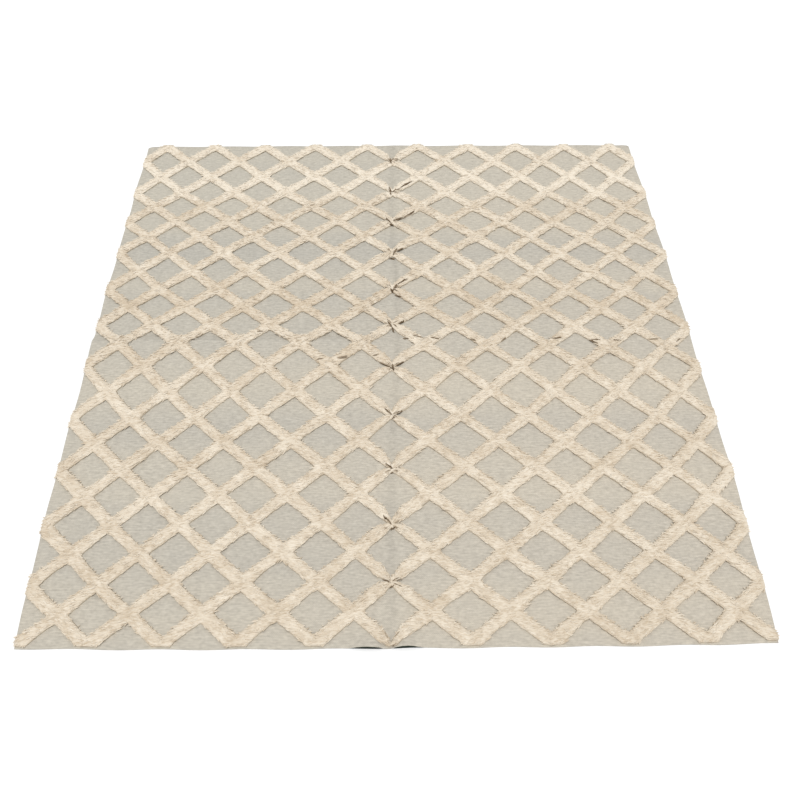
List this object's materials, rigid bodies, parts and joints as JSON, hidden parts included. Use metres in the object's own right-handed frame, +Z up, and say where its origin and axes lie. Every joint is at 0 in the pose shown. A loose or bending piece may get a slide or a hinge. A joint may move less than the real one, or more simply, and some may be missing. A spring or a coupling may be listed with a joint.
{
  "type": "kilim rug",
  "caption": "Flat-woven rug in greige with a raised cream pile lattice of diamonds, lying flat, with soft fold creases.",
  "frame": {"origin": "on the floor under the middle of the rug", "axes": "+Y along the rug from the near end to the far end, +X across it to the right, +Z up from the floor"},
  "size_m": [1.6247, 1.8578, 0.0146],
  "materials": {
    "ground": "matte flat weave in greige wool, with faint weft streaks",
    "pile": "soft cut pile in cream wool, lighter at the tips"
  },
  "bodies": {
    "root": {"rug": "ground"}
  },
  "joints": []
}
